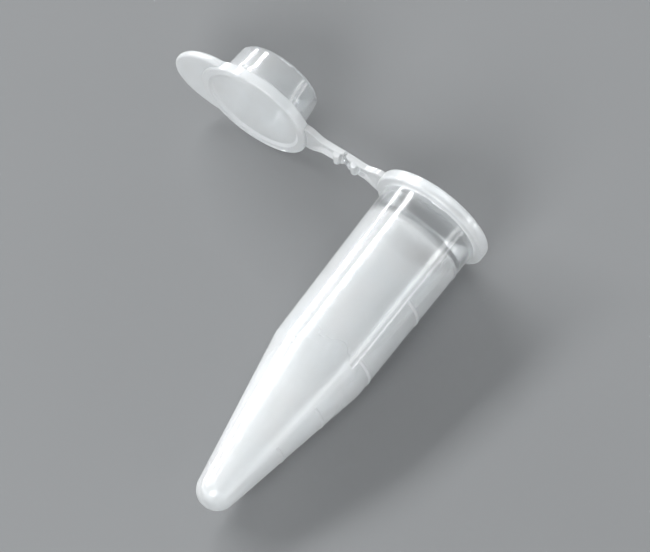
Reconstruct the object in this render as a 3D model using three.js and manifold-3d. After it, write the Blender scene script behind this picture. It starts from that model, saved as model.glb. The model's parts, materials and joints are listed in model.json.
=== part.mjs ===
// A 1.5 mL snap-cap microcentrifuge tube, lying on its side with the lid folded back.
// Millimetres. In the tube's own frame the mouth plane is z = 0, +Z points out of the mouth,
// +Y points to the lid and +X is the side that the tube lies on.

import * as THREE from "three";
import { mergeVertices } from "three/addons/utils/BufferGeometryUtils.js";
import Module from "manifold-3d";

// Tube body
const TUBE_LENGTH = 38.2;
const BARREL_LENGTH = 19.9;
const BARREL_TOP_RADIUS = 5.42;
const BARREL_FOOT_RADIUS = 5.08;
const TIP_RADIUS = 2.05;
const FLANGE_RADIUS = 6.4;
const FLANGE_THICKNESS = 1.3;
const FLANGE_EDGE = 0.25;

// Bore: a lead-in, a seat for the plug, then the narrower barrel and cone
const MOUTH_RADIUS = 5.12;
const SEAT_RADIUS = 4.98;
const SEAT_FOOT_RADIUS = 4.9;
const LEAD_IN = 0.45;
const SEAT_DEPTH = 3.5;
const BORE_RADIUS = 4.6;
const BORE_STEP_DEPTH = 4.4;
const BORE_FOOT_RADIUS = 4.25;
const BORE_TIP_RADIUS = 1.05;
const TIP_THICKNESS = 1.15;

// Strap and living hinge: the fold is halfway between the tube's axis and the lid's centre
const FOLD = 10.8;
const STRAP_TOP = -0.04;
const STRAP_THICKNESS = 0.7;
const STRAP_HALF_WIDTH = 1.15;
const STRAP_ROOT_HALF_WIDTH = 2.2;
const STRAP_ROOT_SHARE = 0.8;
const STRAP_FLARE = 1;
const WEB_THICKNESS = 0.16;
const WEB_HALF_LENGTH = 0.42;
const WEB_SLIT = 0.07;
const RIB_RADIUS = 0.4;
const TUBE_RIB_OFFSET = 1.3;
const LID_RIB_OFFSET = 0.85;

// Lid
const LID_RADIUS = 6.35;
const LID_SEAT_GAP = 0.03;
const LID_PLATE_THICKNESS = 0.85;
const LID_RIM_HEIGHT = 0.25;
const LID_RIM_WIDTH = 0.9;
const LID_RIM_FOOT_WIDTH = 1.17;
const LID_OVERBEND = THREE.MathUtils.degToRad(1.5);
const PLUG_LENGTH = 3.7;
const PLUG_ROOT_RADIUS = 4.74;
const PLUG_BEAD_RADIUS = 4.86;
const PLUG_BEAD_HEIGHT = 1.0;
const PLUG_END_RADIUS = 4.58;
const PLUG_WALL = 0.6;
const PLUG_NOSE_LENGTH = 0.3;
const PLUG_NOSE_SWELL = 0.06;
const PLUG_NOSE_OUTER_CHAMFER = 0.15;
const PLUG_NOSE_INNER_CHAMFER = 0.1;

// Thumb tab, opposite the hinge, curling towards the lid's outer face
const TAB_REACH = 9.6;
const TAB_HALF_WIDTH = 5.1;
const TAB_CENTRE = 4.2;
const TAB_THICKNESS = 0.85;
const TAB_END_THICKNESS = 0.75;
const TAB_CURL = 0.45;
const TAB_ROOT_SHARE = 0.6;
const TAB_BEND_REACH = 1;
const TAB_SET_BACK = 0.05;

// Raised graduation strokes opposite the hinge, at the depth of each volume in mL
const GRADUATION_DEPTHS = { "0_1": 29.9, "0_25": 24.7, "0_5": 18.3, "1_0": 10.5, "1_5": 4.3 };
const GRADUATION_HEIGHT = 0.3;
const GRADUATION_RELIEF = 0.07;
const GRADUATION_HALF_ANGLE = THREE.MathUtils.degToRad(36);

// Gap between neighbouring regions, and the facets round a full turn
const SEAM = 0.02;
const ROUND_SIDES = 64;

const wasm = await Module();
wasm.setup();

const polypropylene = { color: 0xe4e8e8, roughness: 0.32, metalness: 0, transparent: true, opacity: 0.6 };

function named(name, geometry) {
  const mesh = new THREE.Mesh(geometry, new THREE.MeshStandardMaterial(polypropylene));
  mesh.name = name;
  return mesh;
}

// A solid of revolution about Z from (radius, z) points, outside going up and inside going down
function turned(profile) {
  const points = profile.map(([radius, z]) => new THREE.Vector2(radius, z));
  return new THREE.LatheGeometry(points, ROUND_SIDES).rotateX(Math.PI / 2);
}

function ring(profile) {
  return turned([...profile, profile[0]]);
}

// An XY outline made solid between two heights
function slab(shape, bottom, top) {
  const options = { depth: top - bottom, bevelEnabled: false, curveSegments: 48 };
  return new THREE.ExtrudeGeometry(shape, options).translate(0, 0, bottom);
}

function disc(radius, bottom, top) {
  return turned([[0, bottom], [radius, bottom], [radius, top], [0, top]]);
}

function solid(geometry) {
  const bare = geometry.clone();
  bare.deleteAttribute("normal");
  bare.deleteAttribute("uv");
  const merged = mergeVertices(bare, 1e-5);
  const vertProperties = new Float32Array(merged.attributes.position.array);
  const triVerts = new Uint32Array(merged.index.array);
  const mesh = new wasm.Mesh({ numProp: 3, vertProperties, triVerts });
  mesh.merge();
  return new wasm.Manifold(mesh);
}

function geometryOf(manifold) {
  const { vertProperties, triVerts } = manifold.getMesh();
  const geometry = new THREE.BufferGeometry();
  geometry.setAttribute("position", new THREE.BufferAttribute(vertProperties, 3));
  geometry.setIndex(new THREE.BufferAttribute(triVerts, 1));
  geometry.computeVertexNormals();
  return geometry;
}

// Cone line from a corner down to its tangent with the tip's sphere, then the sphere to the axis
function tipProfile(cornerRadius, cornerZ, tipRadius, tipZ, steps) {
  const centreZ = tipZ + tipRadius;
  const height = cornerZ - centreZ;
  const reach = Math.hypot(cornerRadius, height);
  const halfAngle = Math.atan2(cornerRadius, height) - Math.asin(tipRadius / reach);
  const points = [[cornerRadius, cornerZ]];
  for (let step = 0; step <= steps; step += 1) {
    const angle = halfAngle + (step / steps) * (Math.PI / 2 - halfAngle);
    points.push([tipRadius * Math.cos(angle), centreZ - tipRadius * Math.sin(angle)]);
  }
  points[points.length - 1][0] = 0;
  return points;
}

function barrelRadius(depth) {
  const share = depth / BARREL_LENGTH;
  return BARREL_TOP_RADIUS + share * (BARREL_FOOT_RADIUS - BARREL_TOP_RADIUS);
}

function outerRadius(depth) {
  if (depth <= BARREL_LENGTH) return barrelRadius(depth);
  const corner = tipProfile(BARREL_FOOT_RADIUS, -BARREL_LENGTH, TIP_RADIUS, -TUBE_LENGTH, 1);
  const [tangentRadius, tangentZ] = corner[1];
  const share = (depth - BARREL_LENGTH) / (-tangentZ - BARREL_LENGTH);
  return BARREL_FOOT_RADIUS + share * (tangentRadius - BARREL_FOOT_RADIUS);
}

function barrel() {
  return ring([
    [BORE_FOOT_RADIUS, -BARREL_LENGTH],
    [BARREL_FOOT_RADIUS, -BARREL_LENGTH],
    [barrelRadius(FLANGE_THICKNESS), -FLANGE_THICKNESS],
    [BARREL_TOP_RADIUS, 0],
    [MOUTH_RADIUS, 0],
    [SEAT_RADIUS, -LEAD_IN],
    [SEAT_FOOT_RADIUS, -SEAT_DEPTH],
    [BORE_RADIUS, -BORE_STEP_DEPTH],
  ]);
}

function cone() {
  const top = -BARREL_LENGTH - SEAM;
  const outside = tipProfile(BARREL_FOOT_RADIUS, top, TIP_RADIUS, -TUBE_LENGTH, 12).reverse();
  const inside = tipProfile(BORE_FOOT_RADIUS, top, BORE_TIP_RADIUS, -TUBE_LENGTH + TIP_THICKNESS, 8);
  return turned([...outside, ...inside]);
}

function rimFlange() {
  const inner = BARREL_TOP_RADIUS + SEAM;
  return ring([
    [inner, -FLANGE_THICKNESS],
    [FLANGE_RADIUS - FLANGE_EDGE, -FLANGE_THICKNESS],
    [FLANGE_RADIUS, -FLANGE_THICKNESS + FLANGE_EDGE],
    [FLANGE_RADIUS, -FLANGE_EDGE],
    [FLANGE_RADIUS - FLANGE_EDGE, 0],
    [inner, 0],
  ]);
}

// Half of the strap, from the rim that its root joins to the fold, wide at the root
function strapHalf(rimRadius) {
  const waist = FOLD - TUBE_RIB_OFFSET - RIB_RADIUS;
  const tip = FOLD - WEB_SLIT;
  const root = rimRadius * STRAP_ROOT_SHARE;
  const outline = new THREE.Shape();
  outline.moveTo(-STRAP_ROOT_HALF_WIDTH, root);
  outline.lineTo(STRAP_ROOT_HALF_WIDTH, root);
  outline.bezierCurveTo(
    STRAP_ROOT_HALF_WIDTH, rimRadius,
    STRAP_HALF_WIDTH, rimRadius + STRAP_FLARE,
    STRAP_HALF_WIDTH, waist,
  );
  outline.lineTo(STRAP_HALF_WIDTH, tip);
  outline.lineTo(-STRAP_HALF_WIDTH, tip);
  outline.lineTo(-STRAP_HALF_WIDTH, waist);
  outline.bezierCurveTo(
    -STRAP_HALF_WIDTH, rimRadius + STRAP_FLARE,
    -STRAP_ROOT_HALF_WIDTH, rimRadius,
    -STRAP_ROOT_HALF_WIDTH, root,
  );
  const strap = solid(slab(outline, STRAP_TOP - STRAP_THICKNESS, STRAP_TOP));
  const groove = new THREE.BoxGeometry(4 * STRAP_HALF_WIDTH, 2 * WEB_HALF_LENGTH, 2 * STRAP_THICKNESS);
  groove.translate(0, FOLD, STRAP_TOP - WEB_THICKNESS - STRAP_THICKNESS);
  const rim = disc(rimRadius + SEAM, -2 * FLANGE_THICKNESS, FLANGE_THICKNESS);
  return geometryOf(strap.subtract(solid(groove)).subtract(solid(rim)));
}

// Half-round stiffening rib on the strap's tip side, at a distance from the fold
function hingeRib(offset) {
  const section = new THREE.Shape();
  section.absarc(0, 0, RIB_RADIUS, Math.PI, 2 * Math.PI, false);
  const length = 2 * STRAP_HALF_WIDTH;
  const options = { depth: length, bevelEnabled: false, curveSegments: 10 };
  const rib = new THREE.ExtrudeGeometry(section, options);
  rib.translate(0, 0, -length / 2);
  rib.rotateX(Math.PI / 2).rotateZ(Math.PI / 2);
  return rib.translate(0, FOLD - offset, STRAP_TOP - STRAP_THICKNESS - SEAM);
}

function graduation(depth) {
  const inner = outerRadius(depth - GRADUATION_HEIGHT / 2) + SEAM;
  const outer = inner + GRADUATION_RELIEF;
  const from = -Math.PI / 2 - GRADUATION_HALF_ANGLE;
  const to = -Math.PI / 2 + GRADUATION_HALF_ANGLE;
  const sector = new THREE.Shape();
  sector.absarc(0, 0, outer, from, to, false);
  sector.absarc(0, 0, inner, to, from, true);
  const options = { depth: GRADUATION_HEIGHT, bevelEnabled: false, curveSegments: 16 };
  return new THREE.ExtrudeGeometry(sector, options).translate(0, 0, -depth - GRADUATION_HEIGHT / 2);
}

// The lid's own frame: the fold is the origin, the lid's centre is at y = FOLD, the plug points to +Z
const LID_UNDERSIDE = -LID_SEAT_GAP;
const LID_OUTSIDE = LID_UNDERSIDE - LID_PLATE_THICKNESS;

function lidRim() {
  const bottom = LID_OUTSIDE - SEAM - LID_RIM_HEIGHT;
  return ring([
    [LID_RADIUS - LID_RIM_WIDTH, bottom],
    [LID_RADIUS - LID_RIM_HEIGHT / 2, bottom],
    [LID_RADIUS, bottom + LID_RIM_HEIGHT / 2],
    [LID_RADIUS, LID_OUTSIDE - SEAM],
    [LID_RADIUS - LID_RIM_FOOT_WIDTH, LID_OUTSIDE - SEAM],
  ]);
}

function lidPlug() {
  const bottom = LID_UNDERSIDE + SEAM;
  const shoulder = PLUG_LENGTH - PLUG_NOSE_LENGTH;
  return ring([
    [PLUG_ROOT_RADIUS - PLUG_WALL, bottom],
    [PLUG_ROOT_RADIUS, bottom],
    [PLUG_BEAD_RADIUS, PLUG_BEAD_HEIGHT],
    [PLUG_END_RADIUS + PLUG_NOSE_SWELL, shoulder],
    [PLUG_END_RADIUS - PLUG_NOSE_OUTER_CHAMFER, PLUG_LENGTH],
    [PLUG_END_RADIUS - PLUG_WALL + PLUG_NOSE_INNER_CHAMFER, PLUG_LENGTH],
    [PLUG_END_RADIUS - PLUG_WALL, shoulder],
  ]);
}

function thumbTab() {
  const outline = new THREE.Shape();
  outline.absellipse(0, TAB_CENTRE, TAB_HALF_WIDTH, TAB_REACH - TAB_CENTRE, 0, 2 * Math.PI);
  const depth = 2 * LID_RADIUS;
  const plan = solid(slab(outline, -depth, depth));
  const root = LID_RADIUS * TAB_ROOT_SHARE;
  const bend = LID_RADIUS + TAB_BEND_REACH;
  const top = LID_UNDERSIDE - TAB_SET_BACK;
  const side = new THREE.Shape();
  side.moveTo(root, top - TAB_THICKNESS);
  side.quadraticCurveTo(bend, top - TAB_THICKNESS, TAB_REACH, top - TAB_CURL - TAB_END_THICKNESS);
  side.lineTo(TAB_REACH, top - TAB_CURL);
  side.quadraticCurveTo(bend, top, root, top);
  const blade = new THREE.ExtrudeGeometry(side, { depth, bevelEnabled: false, curveSegments: 12 });
  blade.translate(0, 0, -depth / 2).rotateX(Math.PI / 2).rotateZ(Math.PI / 2);
  const rim = disc(LID_RADIUS + SEAM, -depth, depth);
  return geometryOf(plan.intersect(solid(blade)).subtract(solid(rim)));
}

const tube = new THREE.Group();
tube.add(named("barrel", barrel()));
tube.add(named("cone", cone()));
tube.add(named("rim_flange", rimFlange()));
tube.add(named("tube_strap", strapHalf(FLANGE_RADIUS)));
tube.add(named("tube_hinge_rib", hingeRib(TUBE_RIB_OFFSET)));
for (const [volume, depth] of Object.entries(GRADUATION_DEPTHS)) {
  tube.add(named(`graduation_${volume}`, graduation(depth)));
}

const lid = new THREE.Group();
lid.position.y = FOLD;
lid.rotation.x = -LID_OVERBEND;
const lidCentre = new THREE.Group();
lidCentre.position.y = FOLD;
lidCentre.add(named("lid_plate", disc(LID_RADIUS, LID_OUTSIDE, LID_UNDERSIDE)));
lidCentre.add(named("lid_rim", lidRim()));
lidCentre.add(named("lid_plug", lidPlug()));
lidCentre.add(named("thumb_tab", thumbTab()));
lid.add(lidCentre);

// The lid's half of the strap is the tube's half turned about the fold
const lidSide = new THREE.Group();
lidSide.position.y = FOLD;
lidSide.rotation.z = Math.PI;
lidSide.add(named("lid_strap", strapHalf(LID_RADIUS)));
lidSide.add(named("lid_hinge_rib", hingeRib(LID_RIB_OFFSET)));
lid.add(lidSide);
tube.add(lid);

// Lying on the flange's lower edge and the corner between barrel and cone
const rise = FLANGE_RADIUS - BARREL_FOOT_RADIUS;
const tilt = Math.atan2(rise, BARREL_LENGTH - (FLANGE_THICKNESS - FLANGE_EDGE));
tube.rotation.y = Math.PI / 2 - tilt;

const part = new THREE.Group();
part.add(tube);
part.updateMatrixWorld(true);
const box = new THREE.Box3().setFromObject(part, true);
const centre = box.getCenter(new THREE.Vector3());
part.position.set(-centre.x, -centre.y, -box.min.z);

export default part;
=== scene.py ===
"""A 1.5 mL snap-cap microcentrifuge tube in natural polypropylene, on its side with its lid folded back.

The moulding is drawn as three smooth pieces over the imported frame: the tube, the lid, and the strap that
bends between them. All lengths are metres. In the tube's own frame the mouth is z = 0, +Z points out of it,
and +Y points to the lid. The lid's own frame stands on the lid's axis, and its +Z points out of the plug.
"""

import json
import math

import bmesh
import bpy
from mathutils import Matrix, Vector
from mathutils.bvhtree import BVHTree


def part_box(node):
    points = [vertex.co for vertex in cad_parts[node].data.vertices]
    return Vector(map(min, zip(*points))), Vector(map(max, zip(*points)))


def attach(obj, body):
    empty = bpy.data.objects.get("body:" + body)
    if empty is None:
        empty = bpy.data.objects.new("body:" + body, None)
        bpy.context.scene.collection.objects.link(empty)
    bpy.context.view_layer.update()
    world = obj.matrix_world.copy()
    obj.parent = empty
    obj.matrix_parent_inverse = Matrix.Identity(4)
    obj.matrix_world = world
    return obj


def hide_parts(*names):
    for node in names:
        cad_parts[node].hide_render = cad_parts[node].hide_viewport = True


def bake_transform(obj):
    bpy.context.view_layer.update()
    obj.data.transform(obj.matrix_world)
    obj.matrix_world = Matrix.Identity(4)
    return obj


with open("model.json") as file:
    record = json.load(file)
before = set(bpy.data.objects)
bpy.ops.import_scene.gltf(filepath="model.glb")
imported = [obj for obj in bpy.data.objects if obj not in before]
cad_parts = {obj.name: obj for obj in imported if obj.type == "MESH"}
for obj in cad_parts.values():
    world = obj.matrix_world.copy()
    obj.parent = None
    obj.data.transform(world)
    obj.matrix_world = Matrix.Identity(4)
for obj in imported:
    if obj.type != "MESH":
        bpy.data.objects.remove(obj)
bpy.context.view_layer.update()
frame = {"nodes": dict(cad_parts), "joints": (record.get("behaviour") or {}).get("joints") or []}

MM = 0.001
SLOT = "natural_polypropylene"

# Facets round a full turn, the longest step along a profile, the steps along a fillet and the share of a side
# that it may cut off, and the radius below which a point is on the axis
TURN_STEPS = 320
PROFILE_STEP = 0.8 * MM
FILLET_STEPS = 6
FILLET_SHARE = 0.49
ON_AXIS = 0.0001 * MM

# Tube: details that the frame's boxes don't give
MOUTH_RADIUS = 5.12 * MM
MOUTH_CHAMFER = 0.2 * MM
MOUTH_FILLET = 0.15 * MM
SEAT_RADIUS = 4.98 * MM
SEAT_FOOT_RADIUS = 4.9 * MM
LEAD_IN = 0.45 * MM
LEAD_IN_FILLET = 0.3 * MM
SEAT_DEPTH = 3.5 * MM
BORE_STEP_FILLET = 0.6 * MM
BORE_RADIUS = 4.6 * MM
BORE_STEP_DEPTH = 4.4 * MM
BORE_FOOT_RADIUS = 4.25 * MM
BORE_TIP_RADIUS = 1.05 * MM
TIP_RADIUS = 2.05 * MM
TIP_THICKNESS = 1.15 * MM
TIP_STEPS = 14
BORE_TIP_STEPS = 10
RIM_EDGE_FILLET = 0.28 * MM
FLANGE_ROOT_FILLET = 0.3 * MM
CORNER_FILLET = 0.8 * MM

# Raised graduation strokes, opposite the lid
STROKE_MIDDLE = 1.5 * math.pi
STROKE_RELIEF = 0.06 * MM
STROKE_STEEPNESS = 2.2
RINGS_IN_HALF_STROKE = 4
STROKE_RING_REACH = 6

# Lid: details that the frame's boxes don't give
LID_OVERBEND = math.radians(1.5)
LID_RIM_WIDTH = 0.9 * MM
LID_RIM_SLOPE = 0.3 * MM
LID_RIM_FOOT_FILLET = 0.25 * MM
LID_RIM_TOP_FILLET = 0.12 * MM
LID_EDGE_FILLET = 0.2 * MM

# Plug: its root, its sealing bead, and its nose, which is the last stretch before its end
PLUG_WALL = 0.6 * MM
PLUG_ROOT_RADIUS = 4.74 * MM
PLUG_ROOT_FILLET = 0.2 * MM
PLUG_FLOOR_FILLET = 0.35 * MM
PLUG_BEAD_HEIGHT = 1.0 * MM
PLUG_BEAD_FILLET = 0.9 * MM
PLUG_END_RADIUS = 4.58 * MM
NOSE_LENGTH = 0.35 * MM
NOSE_SWELL = 0.06 * MM
NOSE_SWELL_FILLET = 0.5 * MM
NOSE_OUTER_CHAMFER = 0.16 * MM
NOSE_OUTER_FILLET = 0.16 * MM
NOSE_INNER_CHAMFER = 0.1 * MM
NOSE_INNER_FILLET = 0.14 * MM
NOSE_BORE_FILLET = 0.35 * MM

# Thumb tab: an ellipse in plan, cut off at its root inside the lid
TAB_CENTRE = 4.2 * MM
TAB_ROOT_SHARE = 0.62
TAB_ROOT_THICKNESS = 0.85 * MM
TAB_TIP_THICKNESS = 0.75 * MM
TAB_EDGE = 0.3 * MM
TAB_CURL_POWER = 1.8
TAB_RINGS = (0.25, 0.5, 0.7, 0.84)
TAB_EDGE_STEPS = 10
TAB_AROUND = 96

# Joining the tab to the lid: points this near are merged, and edges steeper than this are shaded sharp
WELD = 0.0005 * MM
SHARP_EDGE = math.radians(35)

# Strap: a shallow channel whose edges are thicker than its middle, with a rib on each side of the hinge web
STRAP_WAIST_HALF_WIDTH = 1.12 * MM
STRAP_ROOT_HALF_WIDTH = 1.95 * MM
STRAP_EMBED = 0.35 * MM
STRAP_FLARE = 2.0 * MM
STRAP_CORNER = 0.12 * MM
STRAP_CORNER_LIMIT = 0.45
STRAP_MIDDLE = 0.32 * MM
CHANNEL_EDGE = 0.42
CHANNEL_SLOPE = 0.3
WEB_EDGE = 0.5 * MM
WEB_MIDDLE = 0.14 * MM
WEB_HALF_LENGTH = 0.42 * MM
WEB_FLAT = 0.35
RIB_RADIUS = 0.4 * MM
RIB_REACH = 0.72
RIB_END_FADE = 0.2
RIB_STEEPNESS = 2.5
STRAP_STEP = 0.04 * MM
STRAP_ACROSS = 16
STRAP_CORNER_STEPS = 4

# Plastic: how clear it is where its wall is thin and thick, in millimetres, and how cloudy each part is
THIN_AND_THICK = (0.58, 0.87)
CLEARNESS = (0.99, 0.7)
PLATE_CLOUDS = 1.3
STRAP_CLOUDS = (1.3, 2.6)
STRAP_CLEAR_TO_TUBE = 2.3 * MM
STRAP_CLEAR_TO_LID = 1.2 * MM
STRAP_CLOUD_FADE = 0.6 * MM

# How the wall is measured: by a ray inwards from each vertex, then averaged with its neighbours
THICKEST_WALL = 2.0
RAY_START = 0.002 * MM
WALL_SMOOTHING = 4
STRAP_SMOOTHING = 10

# Plastic: the surface. Each pair is for the low and the high end of the clouds' noise
CLOUD_SCALE = 260
CLOUD_DETAIL = 3
CLOUD_RANGE = (0.3, 0.7)
CLOUD_TINTS = ((0.88, 0.91, 0.925, 1), (0.92, 0.93, 0.935, 1))
CLOUD_CLEARNESS = (0.965, 1.0)
CLOUD_ROUGHNESS = (0.1, 0.14)
REFRACTIVE_INDEX = 1.49
SHEEN = 0.3
SHEEN_ROUGHNESS = 0.3
GRAIN_SCALE = 1500
GRAIN_DETAIL = 2
GRAIN_STRENGTH = 0.02
GRAIN_HEIGHT = 0.01 * MM

# Sockets of a colour Mix node, by number, because several of them share a name
MIX_FACTOR, MIX_FIRST, MIX_SECOND, MIX_RESULT = 0, 6, 7, 2

# Stage: floor, lights as (name, watts, size, place), and a sky that is brightest at the horizon
FLOOR_HALF_SIZE = 5.0
FLOOR_GREY = (0.175, 0.18, 0.184)
LIGHTS = (
    ("key", 24, (1.5, 0.24), (0.15, 1.02, 0.84)),
    ("side", 12, (1.5, 0.15), (0.15, 1.26, 0.18)),
    ("fill", 3.6, (1.5, 0.2), (0.15, -1.2, 0.36)),
    ("low_fill", 2, (1.5, 0.1), (0.15, -1.2, 0.055)),
    ("end", 20, (0.75, 0.75), (-1.2, -0.15, 0.9)),
)
LIGHT_AIM = (0, -0.005, 0.005)
SKY_COLOUR = (0.96, 0.985, 1.0, 1)
SKY_HEIGHTS = (0.0, 0.9)
SKY_STRENGTHS = (1.1, 0.35)

# Camera: the photo's angle, how far away it stands and where it aims, from the mouth's centre
CAMERA_AZIMUTH = math.radians(-53.7)
CAMERA_ELEVATION = math.radians(62.0)
CAMERA_DISTANCE = 400 * MM
CAMERA_FIELD = 64.3 * MM
AIM_RIGHT = -11.0 * MM
AIM_UP = -6.3 * MM
SENSOR_WIDTH = 36
CLIP_RANGE = (0.01, 10)


def smooth(value):
    """An even start and end between 0 and 1, and flat beyond them."""
    value = max(0.0, min(1.0, value))
    return value * value * (3 - 2 * value)


def place_of(axis, origin):
    """The matrix of a frame at origin whose +X is the given axis and whose +Y is the world's."""
    x = Vector(axis).normalized()
    y = Vector((0, 1, 0))
    z = x.cross(y)
    matrix = Matrix((x, y, z)).transposed().to_4x4()
    matrix.translation = origin
    return matrix


def extent(node, place):
    """Lowest and highest corner of a CAD node in the frame given by place."""
    inverse = place.inverted()
    points = [inverse @ vertex.co for vertex in frame["nodes"][node].data.vertices]
    low = Vector([min(point[i] for point in points) for i in range(3)])
    high = Vector([max(point[i] for point in points) for i in range(3)])
    return low, high


hinge = frame["joints"][0]
hinge_point = Vector(hinge["pos_m"])
mouth_y = sum(corner.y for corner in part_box("rim_flange")) / 2
FOLD = hinge_point.y - mouth_y
TUBE = place_of(hinge["axis"], hinge_point - Vector((0, FOLD, 0)))
LID = (
    TUBE
    @ Matrix.Translation((0, FOLD, 0))
    @ Matrix.Rotation(-LID_OVERBEND, 4, "X")
    @ Matrix.Translation((0, FOLD, 0))
)


# ---------------------------------------------------------------- mesh helpers

def filleted(corners):
    """A polyline through (radius, z, fillet) corners, each rounded by an arc of the fillet's radius."""
    points = []
    for i, (r, z, fillet) in enumerate(corners):
        here = Vector((r, z))
        if fillet == 0 or i in (0, len(corners) - 1):
            points.append(here)
            continue
        before = Vector(corners[i - 1][:2]) - here
        after = Vector(corners[i + 1][:2]) - here
        half = before.angle(after) / 2
        cut = min(fillet / math.tan(half), FILLET_SHARE * before.length, FILLET_SHARE * after.length)
        radius = cut * math.tan(half)
        centre = here + (before.normalized() + after.normalized()).normalized() * (radius / math.sin(half))
        start = here + before.normalized() * cut - centre
        end = here + after.normalized() * cut - centre
        turn = start.angle_signed(end)
        for step in range(FILLET_STEPS + 1):
            angle = -turn * step / FILLET_STEPS
            points.append(centre + Matrix.Rotation(angle, 2) @ start)
    return points


def divided(points, longest):
    """The same polyline with long stretches cut into equal steps."""
    out = [points[0]]
    for a, b in zip(points, points[1:]):
        count = max(1, math.ceil((b - a).length / longest))
        out += [a.lerp(b, step / count) for step in range(1, count + 1)]
    return out


def tip_arc(corner_radius, corner_z, tip_radius, tip_z, steps):
    """From the tangent of a cone line through the corner, round the tip's sphere, to the axis."""
    centre_z = tip_z + tip_radius
    height = corner_z - centre_z
    reach = math.hypot(corner_radius, height)
    first = math.atan2(corner_radius, height) - math.asin(tip_radius / reach)
    angles = [first + (math.pi / 2 - first) * step / steps for step in range(steps + 1)]
    points = [(tip_radius * math.cos(a), centre_z - tip_radius * math.sin(a)) for a in angles]
    points[-1] = (0.0, points[-1][1])
    return points


def revolved(name, profile, place, lift=None, lifted=0):
    """A closed mesh from a profile that starts and ends on the axis. lift raises the first lifted rings."""
    vertices, faces, rings = [], [], []
    for index, (r, z) in enumerate(profile):
        if r < ON_AXIS:
            rings.append([len(vertices)])
            vertices.append(Vector((0, 0, z)))
            continue
        rings.append(list(range(len(vertices), len(vertices) + TURN_STEPS)))
        for step in range(TURN_STEPS):
            angle = 2 * math.pi * step / TURN_STEPS
            radius = r + lift(r, z, angle) if index < lifted else r
            vertices.append(Vector((radius * math.cos(angle), radius * math.sin(angle), z)))
    for lower, upper in zip(rings, rings[1:]):
        for step in range(TURN_STEPS):
            following = (step + 1) % TURN_STEPS
            if len(lower) == 1:
                faces.append((lower[0], upper[following], upper[step]))
            elif len(upper) == 1:
                faces.append((lower[step], lower[following], upper[0]))
            else:
                faces.append((lower[step], lower[following], upper[following], upper[step]))
    return made(name, vertices, faces, place)


def made(name, vertices, faces, place):
    """A smooth-shaded mesh object from vertices in the frame given by place."""
    mesh = bpy.data.meshes.new(name)
    mesh.from_pydata([place @ v for v in vertices], [], faces)
    mesh.validate()
    mesh.polygons.foreach_set("use_smooth", [True] * len(mesh.polygons))
    piece = bpy.data.objects.new(name, mesh)
    bpy.context.scene.collection.objects.link(piece)
    return piece


# ---------------------------------------------------------------- tube

GRADUATIONS = [name for name in frame["nodes"] if name.startswith("graduation_")]


def graduation_strokes():
    """(middle z, half height, half angle) of each raised stroke, from its CAD node."""
    strokes = []
    for name in GRADUATIONS:
        low, high = extent(name, TUBE)
        half_height = (high.z - low.z) / 2
        half_angle = math.asin(min(1.0, high.x / -low.y))
        strokes.append(((low.z + high.z) / 2, half_height, half_angle))
    return strokes


def tube_profile():
    """From the tip up the outside, over the rim, and down the bore to its own tip."""
    barrel_low, barrel_high = extent("barrel", TUBE)
    cone_low, cone_high = extent("cone", TUBE)
    flange_low, flange_high = extent("rim_flange", TUBE)
    foot_radius, foot_z, tip_z = cone_high.x, barrel_low.z, cone_low.z
    top_radius = barrel_high.x
    outer_tip = tip_arc(foot_radius, foot_z, TIP_RADIUS, tip_z, TIP_STEPS)
    bore_tip_z = tip_z + TIP_THICKNESS
    inner_tip = tip_arc(BORE_FOOT_RADIUS, foot_z, BORE_TIP_RADIUS, bore_tip_z, BORE_TIP_STEPS)
    corners = [(r, z, 0) for r, z in reversed(outer_tip)]
    corners += [
        (foot_radius, foot_z, CORNER_FILLET),
        (top_radius, flange_low.z, FLANGE_ROOT_FILLET),
        (flange_high.x, flange_low.z, RIM_EDGE_FILLET),
        (flange_high.x, 0, RIM_EDGE_FILLET),
        (MOUTH_RADIUS + MOUTH_CHAMFER, 0, MOUTH_FILLET),
        (SEAT_RADIUS, -LEAD_IN, LEAD_IN_FILLET),
        (SEAT_FOOT_RADIUS, -SEAT_DEPTH, BORE_STEP_FILLET),
        (BORE_RADIUS, -BORE_STEP_DEPTH, BORE_STEP_FILLET),
        (BORE_FOOT_RADIUS, foot_z, CORNER_FILLET),
    ]
    corners += [(r, z, 0) for r, z in inner_tip]
    return divided(filleted(corners), PROFILE_STEP)


def with_stroke_rings(profile, strokes):
    """The outer side gets fine rings at each stroke, so that its edges are crisp."""
    out = []
    for a, b in zip(profile, profile[1:]):
        out.append(a)
        if b.y <= a.y:
            continue
        extra = []
        for middle, half_height, _ in strokes:
            for step in range(-STROKE_RING_REACH, STROKE_RING_REACH + 1):
                z = middle + step * half_height / RINGS_IN_HALF_STROKE
                if a.y < z < b.y:
                    extra.append(z)
        out += [a.lerp(b, (z - a.y) / (b.y - a.y)) for z in sorted(extra)]
    out.append(profile[-1])
    return out


def make_tube():
    strokes = graduation_strokes()
    profile = with_stroke_rings(tube_profile(), strokes)
    outside = profile.index(max(profile, key=lambda point: point.y))

    def lift(r, z, angle):
        away = abs(angle - STROKE_MIDDLE)
        heights = [0.0]
        for middle, half_height, half_angle in strokes:
            across = 1 - abs(z - middle) / half_height
            along = (half_angle - away) * r / half_height
            heights.append(STROKE_RELIEF * smooth(STROKE_STEEPNESS * across) * smooth(along))
        return max(heights)

    piece = revolved("tube_shell", profile, TUBE, lift, outside)
    mark_wall(piece, WALL_SMOOTHING)
    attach(piece, "tube")
    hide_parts("barrel", "cone", "rim_flange", *GRADUATIONS)
    return piece


# ---------------------------------------------------------------- lid

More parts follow.
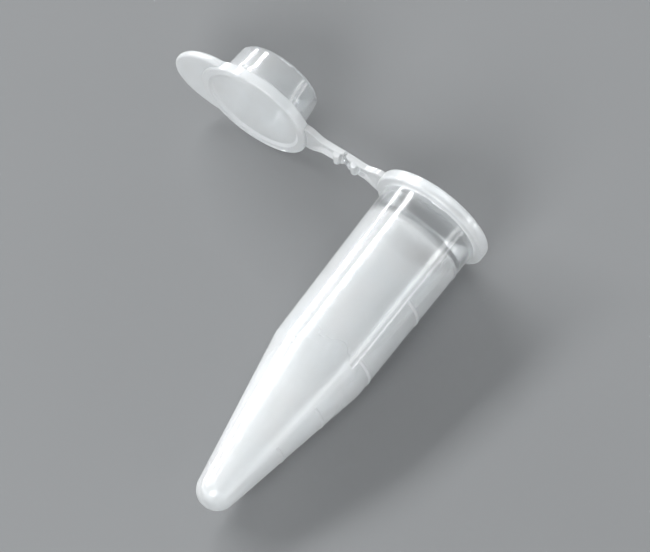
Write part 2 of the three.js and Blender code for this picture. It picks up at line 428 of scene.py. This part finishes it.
def lid_profile():
    """From the middle of the outer face, round the raised rim, and over the hollow plug."""
    plate_low, plate_high = extent("lid_plate", LID)
    rim_low, _ = extent("lid_rim", LID)
    plug_low, plug_high = extent("lid_plug", LID)
    radius, inner = plate_high.x, plate_high.x - LID_RIM_WIDTH
    face, under, bottom = plate_low.z, plate_high.z, rim_low.z
    bead, end = plug_high.x, plug_high.z
    corners = [
        (0, face, 0),
        (inner - LID_RIM_SLOPE, face, LID_RIM_FOOT_FILLET),
        (inner, bottom, LID_RIM_TOP_FILLET),
        (radius, bottom, LID_EDGE_FILLET),
        (radius, under, LID_EDGE_FILLET),
        (PLUG_ROOT_RADIUS, under, PLUG_ROOT_FILLET),
        (bead, PLUG_BEAD_HEIGHT, PLUG_BEAD_FILLET),
        (PLUG_END_RADIUS + NOSE_SWELL, end - NOSE_LENGTH, NOSE_SWELL_FILLET),
        (PLUG_END_RADIUS - NOSE_OUTER_CHAMFER, end, NOSE_OUTER_FILLET),
        (PLUG_END_RADIUS - PLUG_WALL + NOSE_INNER_CHAMFER, end, NOSE_INNER_FILLET),
        (PLUG_END_RADIUS - PLUG_WALL, end - NOSE_LENGTH, NOSE_BORE_FILLET),
        (PLUG_ROOT_RADIUS - PLUG_WALL, under, PLUG_FLOOR_FILLET),
        (0, under, 0),
    ]
    return divided(filleted(corners), PROFILE_STEP)


def tab_mesh():
    """The thumb tab: a rounded tongue, curled towards the lid's outer face, as a closed grid of rings."""
    low, high = extent("thumb_tab", LID)
    root = extent("lid_plate", LID)[1].x * TAB_ROOT_SHARE
    drop = high.z - low.z - TAB_TIP_THICKNESS
    levels = [(share, 1.0) for share in TAB_RINGS]
    for step in range(TAB_EDGE_STEPS + 1):
        turn = math.pi * step / TAB_EDGE_STEPS
        levels.append((1 - TAB_EDGE * (1 - math.sin(turn)) / high.x, math.cos(turn)))
    levels += [(share, -1.0) for share in reversed(TAB_RINGS)]
    vertices, faces = [], []
    for scale, height in levels:
        for step in range(TAB_AROUND):
            angle = 2 * math.pi * step / TAB_AROUND
            y = max(root, TAB_CENTRE + (high.y - TAB_CENTRE) * scale * math.sin(angle))
            share = (y - root) / (high.y - root)
            thickness = TAB_ROOT_THICKNESS + (TAB_TIP_THICKNESS - TAB_ROOT_THICKNESS) * smooth(share)
            z = high.z - thickness / 2 * (1 - height) - drop * share ** TAB_CURL_POWER
            vertices.append(Vector((high.x * scale * math.cos(angle), y, z)))
    for level in range(len(levels) - 1):
        for step in range(TAB_AROUND):
            a = level * TAB_AROUND + step
            b = level * TAB_AROUND + (step + 1) % TAB_AROUND
            faces.append((a, a + TAB_AROUND, b + TAB_AROUND, b))
    faces.append(tuple(range(TAB_AROUND)))
    faces.append(tuple(reversed(range(len(vertices) - TAB_AROUND, len(vertices)))))
    return vertices, faces


def make_lid():
    piece = revolved("lid_shell", lid_profile(), LID)
    tab = made("thumb_tongue", *tab_mesh(), LID)
    joined(piece, tab)
    to_lid = LID.inverted()
    mark_wall(piece, WALL_SMOOTHING, lambda point: PLATE_CLOUDS if (to_lid @ point).z < 0 else 1.0)
    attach(piece, "lid")
    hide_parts("lid_plate", "lid_rim", "lid_plug", "thumb_tab")
    return piece


def joined(piece, other):
    """Joins other to piece as one closed body, and removes it."""
    union = piece.modifiers.new("union", "BOOLEAN")
    union.operation = "UNION"
    union.solver = "EXACT"
    union.object = other
    bpy.context.view_layer.update()
    evaluated = piece.evaluated_get(bpy.context.evaluated_depsgraph_get())
    mesh = bpy.data.meshes.new_from_object(evaluated)
    piece.modifiers.clear()
    old = piece.data
    piece.data = mesh
    bpy.data.meshes.remove(old)
    bpy.data.objects.remove(other)
    welded = bmesh.new()
    welded.from_mesh(mesh)
    bmesh.ops.remove_doubles(welded, verts=welded.verts, dist=WELD)
    bmesh.ops.dissolve_degenerate(welded, edges=welded.edges, dist=WELD)
    welded.to_mesh(mesh)
    welded.free()
    mesh.polygons.foreach_set("use_smooth", [True] * len(mesh.polygons))
    mesh.set_sharp_from_angle(angle=SHARP_EDGE)


# ---------------------------------------------------------------- strap

def strap_half_width(y, tube_rim, lid_rim):
    """Half of the strap's width, which flares where it joins the two rims."""
    inside = min(y - tube_rim, lid_rim - y)
    flare = 1 - smooth(max(0.0, inside) / STRAP_FLARE)
    return STRAP_WAIST_HALF_WIDTH + (STRAP_ROOT_HALF_WIDTH - STRAP_WAIST_HALF_WIDTH) * flare


def strap_depth(across, y, thickness, ribs, tube_rim, lid_rim):
    """Thickness of the strap, across from 0 in the middle to 1 at its edges."""
    edge = smooth((across - CHANNEL_EDGE) / CHANNEL_SLOPE)
    root = 1 - smooth(min(y - tube_rim, lid_rim - y) / STRAP_FLARE)
    full = STRAP_MIDDLE + (thickness - STRAP_MIDDLE) * max(edge, root)
    web = WEB_MIDDLE + (WEB_EDGE - WEB_MIDDLE) * edge
    depth = web + (full - web) * smooth(abs(y - FOLD) / WEB_HALF_LENGTH - WEB_FLAT)
    rib_end = 1 - smooth((across - RIB_REACH) / RIB_END_FADE)
    for rib_y in ribs:
        share = max(0.0, 1 - ((y - rib_y) / RIB_RADIUS) ** 2)
        rib = thickness + RIB_RADIUS * math.sqrt(share)
        depth += max(0.0, rib - depth) * rib_end * smooth(RIB_STEEPNESS * share)
    return depth


def strap_section(half_width, depth_at):
    """Points round one section as (x, z), with z = 0 on the mating side and the channel below."""
    edge_depth = depth_at(1.0)
    corner = min(STRAP_CORNER, STRAP_CORNER_LIMIT * edge_depth)
    flat = half_width - corner
    corners = (
        (flat, corner - edge_depth, -90),
        (flat, -corner, 0),
        (-flat, -corner, 90),
        (-flat, corner - edge_depth, 180),
    )
    points = []
    for x, z, first in corners:
        for step in range(STRAP_CORNER_STEPS + 1):
            angle = math.radians(first + 90 * step / STRAP_CORNER_STEPS)
            points.append((x + corner * math.cos(angle), z + corner * math.sin(angle)))
    for step in range(1, STRAP_ACROSS):
        x = -flat + 2 * flat * step / STRAP_ACROSS
        points.append((x, -depth_at(abs(x) / half_width)))
    return points


def strap_clouds(point):
    """The strap is clearest round its fold, and cloudier towards both ends."""
    y = (TUBE.inverted() @ point).y - FOLD
    beyond = max(y - STRAP_CLEAR_TO_LID, -STRAP_CLEAR_TO_TUBE - y)
    near, far = STRAP_CLOUDS
    return near + (far - near) * smooth(beyond / STRAP_CLOUD_FADE)


def middle_y(node):
    """The middle of a CAD node along +Y in the tube's frame."""
    low, high = extent(node, TUBE)
    return (low.y + high.y) / 2


def make_strap():
    low, high = extent("tube_strap", TUBE)
    tube_rim = extent("rim_flange", TUBE)[1].x
    lid_rim = 2 * FOLD - extent("lid_plate", LID)[1].x
    ribs = [middle_y(node) for node in ("tube_hinge_rib", "lid_hinge_rib")]
    start, end = tube_rim - STRAP_EMBED, lid_rim + STRAP_EMBED
    sections = math.ceil((end - start) / STRAP_STEP)
    pivot = Vector((0, FOLD, 0))

    def outline_at(y):
        def depth_at(across):
            return strap_depth(across, y, high.z - low.z, ribs, tube_rim, lid_rim)

        return strap_section(strap_half_width(y, tube_rim, lid_rim), depth_at)

    vertices, faces = [], []
    for section in range(sections + 1):
        y = start + (end - start) * section / sections
        outline = outline_at(y)
        turn = -LID_OVERBEND * smooth((y - FOLD) / (2 * WEB_HALF_LENGTH) + 0.5)
        bend = Matrix.Rotation(turn, 3, "X")
        vertices += [bend @ (Vector((x, y, high.z + z)) - pivot) + pivot for x, z in outline]
    around = len(outline)
    for section in range(sections):
        for step in range(around):
            a = section * around + step
            b = section * around + (step + 1) % around
            faces.append((a, a + around, b + around, b))
    faces.append(tuple(range(around)))
    faces.append(tuple(reversed(range(sections * around, (sections + 1) * around))))
    piece = made("hinge_strap", vertices, faces, TUBE)
    mark_wall(piece, STRAP_SMOOTHING, strap_clouds)
    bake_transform(piece)
    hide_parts("tube_strap", "tube_hinge_rib", "lid_strap", "lid_hinge_rib")
    return piece


# ---------------------------------------------------------------- material

def mark_wall(piece, smoothing, cloudier=lambda point: 1.0):
    """Stores the plastic's thickness under each vertex, in millimetres, times how cloudy it is there."""
    mesh = piece.data
    tree = BVHTree.FromPolygons([v.co for v in mesh.vertices], [tuple(p.vertices) for p in mesh.polygons])
    walls = []
    for vertex in mesh.vertices:
        inward = -vertex.normal
        distance = tree.ray_cast(vertex.co + inward * RAY_START, inward)[3]
        wall = min(THICKEST_WALL, distance / MM) if distance else THICKEST_WALL
        walls.append(wall * cloudier(vertex.co))
    edges = [tuple(edge.vertices) for edge in mesh.edges]
    for _ in range(smoothing):
        total, count = list(walls), [1] * len(walls)
        for a, b in edges:
            total[a] += walls[b]
            total[b] += walls[a]
            count[a] += 1
            count[b] += 1
        walls = [value / times for value, times in zip(total, count)]
    mesh.attributes.new("wall", "FLOAT", "POINT").data.foreach_set("value", walls)


def added(tree, kind, settings, inputs):
    """A new shader node with its settings, its socket values, and links from other nodes' sockets."""
    node = tree.nodes.new(kind)
    for name, value in settings.items():
        setattr(node, name, value)
    for name, value in inputs.items():
        if isinstance(value, bpy.types.NodeSocket):
            tree.links.new(value, node.inputs[name])
        else:
            node.inputs[name].default_value = value
    return node


def remapped(tree, value, source, target):
    """The value, moved in a straight line from the source range to the target range and kept inside it."""
    names = ("From Min", "From Max", "To Min", "To Max")
    inputs = {"Value": value, **dict(zip(names, (*source, *target)))}
    return added(tree, "ShaderNodeMapRange", {}, inputs).outputs["Result"]


def noise(tree, place, scale, detail):
    inputs = {"Vector": place, "Scale": scale, "Detail": detail}
    return added(tree, "ShaderNodeTexNoise", {}, inputs).outputs["Fac"]


def polypropylene():
    """Natural polypropylene: clear where thin, milky where thick, with faint clouds and a soft gloss."""
    material = bpy.data.materials.new(SLOT)
    material.use_nodes = True
    tree = material.node_tree
    shader = tree.nodes["Principled BSDF"]
    place = added(tree, "ShaderNodeTexCoord", {}, {}).outputs["Object"]
    wall = added(tree, "ShaderNodeAttribute", {"attribute_name": "wall"}, {}).outputs["Fac"]
    clouds = noise(tree, place, CLOUD_SCALE, CLOUD_DETAIL)
    grain = noise(tree, place, GRAIN_SCALE, GRAIN_DETAIL)
    clear = remapped(tree, wall, THIN_AND_THICK, CLEARNESS)
    haze = remapped(tree, clouds, CLOUD_RANGE, CLOUD_CLEARNESS)
    product = {"operation": "MULTIPLY"}
    weight = added(tree, "ShaderNodeMath", product, {0: clear, 1: haze}).outputs["Value"]
    roughness = remapped(tree, clouds, CLOUD_RANGE, CLOUD_ROUGHNESS)
    tints = {
        MIX_FACTOR: remapped(tree, clouds, CLOUD_RANGE, (0, 1)),
        MIX_FIRST: CLOUD_TINTS[0],
        MIX_SECOND: CLOUD_TINTS[1],
    }
    tint = added(tree, "ShaderNodeMix", {"data_type": "RGBA"}, tints).outputs[MIX_RESULT]
    dents = {"Height": grain, "Strength": GRAIN_STRENGTH, "Distance": GRAIN_HEIGHT}
    bump = added(tree, "ShaderNodeBump", {}, dents).outputs["Normal"]
    shader.inputs["IOR"].default_value = REFRACTIVE_INDEX
    shader.inputs["Sheen Weight"].default_value = SHEEN
    shader.inputs["Sheen Roughness"].default_value = SHEEN_ROUGHNESS
    tree.links.new(tint, shader.inputs["Base Color"])
    tree.links.new(weight, shader.inputs["Transmission Weight"])
    tree.links.new(roughness, shader.inputs["Roughness"])
    tree.links.new(bump, shader.inputs["Normal"])
    return material


# ---------------------------------------------------------------- stage

def matt(name, colour):
    material = bpy.data.materials.new(name)
    material.use_nodes = True
    shader = material.node_tree.nodes["Principled BSDF"]
    shader.inputs["Base Color"].default_value = (*colour, 1)
    shader.inputs["Roughness"].default_value = 1
    shader.inputs["Specular IOR Level"].default_value = 0
    return material


def make_floor():
    signs = ((-1, -1), (1, -1), (1, 1), (-1, 1))
    corners = [FLOOR_HALF_SIZE * Vector((x, y, 0)) for x, y in signs]
    floor = made("floor", corners, [(0, 1, 2, 3)], Matrix.Identity(4))
    floor.data.materials.append(matt("floor_grey", FLOOR_GREY))


def make_light(name, energy, size, location):
    light = bpy.data.lights.new(name, "AREA")
    light.energy = energy
    light.shape = "RECTANGLE"
    light.size, light.size_y = size
    lamp = bpy.data.objects.new(name, light)
    lamp.location = location
    lamp.rotation_mode = "QUATERNION"
    lamp.rotation_quaternion = (Vector(location) - Vector(LIGHT_AIM)).to_track_quat("Z", "Y")
    bpy.context.scene.collection.objects.link(lamp)


def make_sky():
    world = bpy.data.worlds.new("studio")
    world.use_nodes = True
    tree = world.node_tree
    direction = added(tree, "ShaderNodeTexCoord", {}, {}).outputs["Generated"]
    height = added(tree, "ShaderNodeSeparateXYZ", {}, {"Vector": direction}).outputs["Z"]
    background = tree.nodes["Background"]
    background.inputs["Color"].default_value = SKY_COLOUR
    strength = remapped(tree, height, SKY_HEIGHTS, SKY_STRENGTHS)
    tree.links.new(strength, background.inputs["Strength"])
    bpy.context.scene.world = world


def make_camera():
    azimuth, elevation = CAMERA_AZIMUTH, CAMERA_ELEVATION
    right = Vector((math.cos(azimuth), math.sin(azimuth), 0))
    back = Vector((
        math.sin(azimuth) * math.cos(elevation),
        -math.cos(azimuth) * math.cos(elevation),
        math.sin(elevation),
    ))
    up = back.cross(right)
    aim = TUBE.translation + right * AIM_RIGHT + up * AIM_UP
    data = bpy.data.cameras.new("camera")
    data.sensor_width = SENSOR_WIDTH
    data.lens = data.sensor_width * CAMERA_DISTANCE / CAMERA_FIELD
    data.clip_start, data.clip_end = CLIP_RANGE
    camera = bpy.data.objects.new("camera", data)
    camera.rotation_mode = "QUATERNION"
    camera.rotation_quaternion = Matrix((right, up, back)).transposed().to_quaternion()
    camera.location = aim + back * CAMERA_DISTANCE
    bpy.context.scene.collection.objects.link(camera)
    bpy.context.scene.camera = camera


make_camera()
plastic = polypropylene()
for piece in (make_tube(), make_lid(), make_strap()):
    piece.data.materials.clear()
    piece.data.materials.append(plastic)
make_floor()
for light in LIGHTS:
    make_light(*light)
make_sky()

bpy.context.scene.view_settings.view_transform = "Standard"
